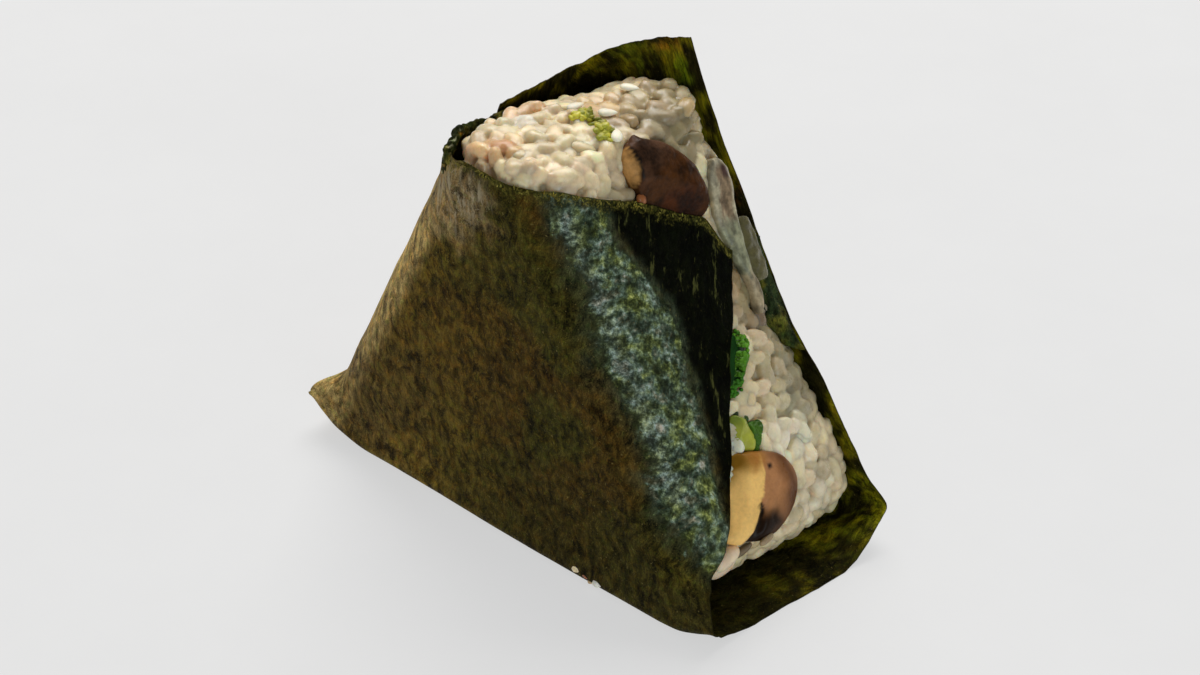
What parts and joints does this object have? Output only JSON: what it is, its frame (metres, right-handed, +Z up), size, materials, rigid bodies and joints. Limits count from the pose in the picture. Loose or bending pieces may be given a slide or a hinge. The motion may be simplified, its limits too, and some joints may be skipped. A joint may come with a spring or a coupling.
{
  "type": "vegetable onigiri",
  "caption": "Triangular rice ball stood on its base, mixed with mushroom and green vegetables and wrapped in one nori strip that leaves the top and right side open.",
  "frame": {"origin": "middle of the whole's box in X and Y, at the flat underside of the nori's base", "axes": "+X across the triangle to its open right side, +Y from the front panel to the back panel, +Z up to the apex"},
  "size_m": [0.0974, 0.0434, 0.0793],
  "materials": {
    "nori": "crinkled dried seaweed, dull olive brown with a silvery sheen on the ridge",
    "rice": "moist cooked grains, slightly translucent",
    "mushroom_cap": "moist dark brown skin",
    "mushroom_flesh": "smooth golden cut flesh with brown skin behind",
    "broccoli": "bright green beaded buds",
    "broccoli_stem": "moist yellow green stalk",
    "mushroom_stalk": "pale fibrous stalk with a brown core",
    "greens": "translucent olive slice"
  },
  "bodies": {
    "root": {"nori_wrap": "nori", "rice": "rice", "mushroom_top": "mushroom_cap", "mushroom_lower": "mushroom_flesh", "broccoli_floret": "broccoli", "broccoli_stem": "broccoli_stem", "mushroom_strip": "mushroom_stalk", "greens_slice": "greens"}
  },
  "joints": []
}
